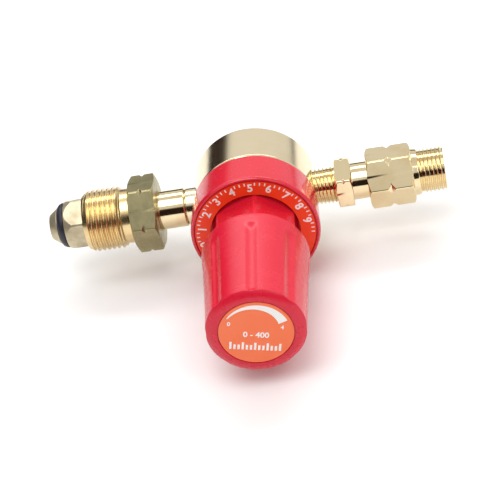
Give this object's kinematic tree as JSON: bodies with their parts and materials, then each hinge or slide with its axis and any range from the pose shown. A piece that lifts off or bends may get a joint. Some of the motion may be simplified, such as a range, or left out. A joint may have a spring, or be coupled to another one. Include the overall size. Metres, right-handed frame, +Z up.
{
  "type": "gas regulator",
  "caption": "Adjustable gas pressure regulator: swivel inlet nut, brass body, red spring bonnet with a fluted adjusting knob, and a threaded outlet adaptor.",
  "frame": {"origin": "tip of the inlet nipple's nose, on the port axis, where the cylinder valve's seat begins", "axes": "+X along the port axis from the inlet to the outlet, -Y along the knob axis from the body towards the knob, +Z up"},
  "size_m": [0.1425, 0.0919, 0.0452],
  "materials": {
    "polished_brass": "polished",
    "satin_brass": "satin, turned",
    "sawn_brass": "dull, machined",
    "sintered_bronze": "matt, porous",
    "copper_washer": "soft copper",
    "plated_steel": "zinc plated",
    "zinc_plate": "satin",
    "black_rubber": "smooth",
    "red_fibre": "vulcanised fibre",
    "red_enamel": "gloss powder coat",
    "red_plastic": "moulded, satin gloss",
    "orange_label": "printed vinyl"
  },
  "bodies": {
    "root": {"inlet_nipple": "polished_brass", "nose_ring": "black_rubber", "inlet_filter": "sintered_bronze", "body": "satin_brass", "seat_nozzle": "polished_brass", "nozzle_washer": "copper_washer", "poppet_spring": "plated_steel", "diaphragm": "black_rubber", "slip_ring": "polished_brass", "main_spring": "plated_steel", "bonnet": "red_enamel", "ring_label": "orange_label", "outlet_nipple": "polished_brass", "outlet_seal": "red_fibre", "outlet_adaptor": "polished_brass"},
    "inlet_nut": {"inlet_nut": "sawn_brass"},
    "spring_button": {"spring_button": "plated_steel"},
    "knob": {"knob": "red_plastic", "knob_label": "orange_label", "knob_screw": "plated_steel", "pressure_screw": "plated_steel"},
    "diaphragm_stack": {"diaphragm_plate": "zinc_plate", "diaphragm_stud": "polished_brass", "diaphragm_nut": "plated_steel"},
    "poppet": {"poppet": "polished_brass", "poppet_pad": "black_rubber"}
  },
  "joints": [
    {"name": "nut_swivel", "type": "hinge", "parent": "root", "child": "inlet_nut", "pos_m": [0.025, 0, 0], "axis": [1, 0, 0], "continuous": true},
    {"name": "screw_feed", "type": "slide", "parent": "root", "child": "spring_button", "axis": [0, 1, 0], "range_m": [0, 0.00826], "deforming": ["main_spring"]},
    {"name": "knob_turn", "type": "hinge", "parent": "spring_button", "child": "knob", "pos_m": [0.0747, -0.045, 0], "axis": [0, 1, 0], "range_deg": [0, 1980]},
    {"name": "diaphragm_travel", "type": "slide", "parent": "root", "child": "diaphragm_stack", "axis": [0, 1, 0], "range_m": [0, 0.0008], "stiffness_N_per_m": 2000, "deforming": ["diaphragm"]},
    {"name": "poppet_travel", "type": "slide", "parent": "root", "child": "poppet", "axis": [0, 1, 0], "range_m": [0, 0.0008], "deforming": ["poppet_spring"]}
  ],
  "couplings": [
    {"joint": "screw_feed", "follows": "knob_turn", "m_per_rad": 0.00023873},
    {"joint": "poppet_travel", "follows": "diaphragm_travel", "ratio": 1}
  ]
}
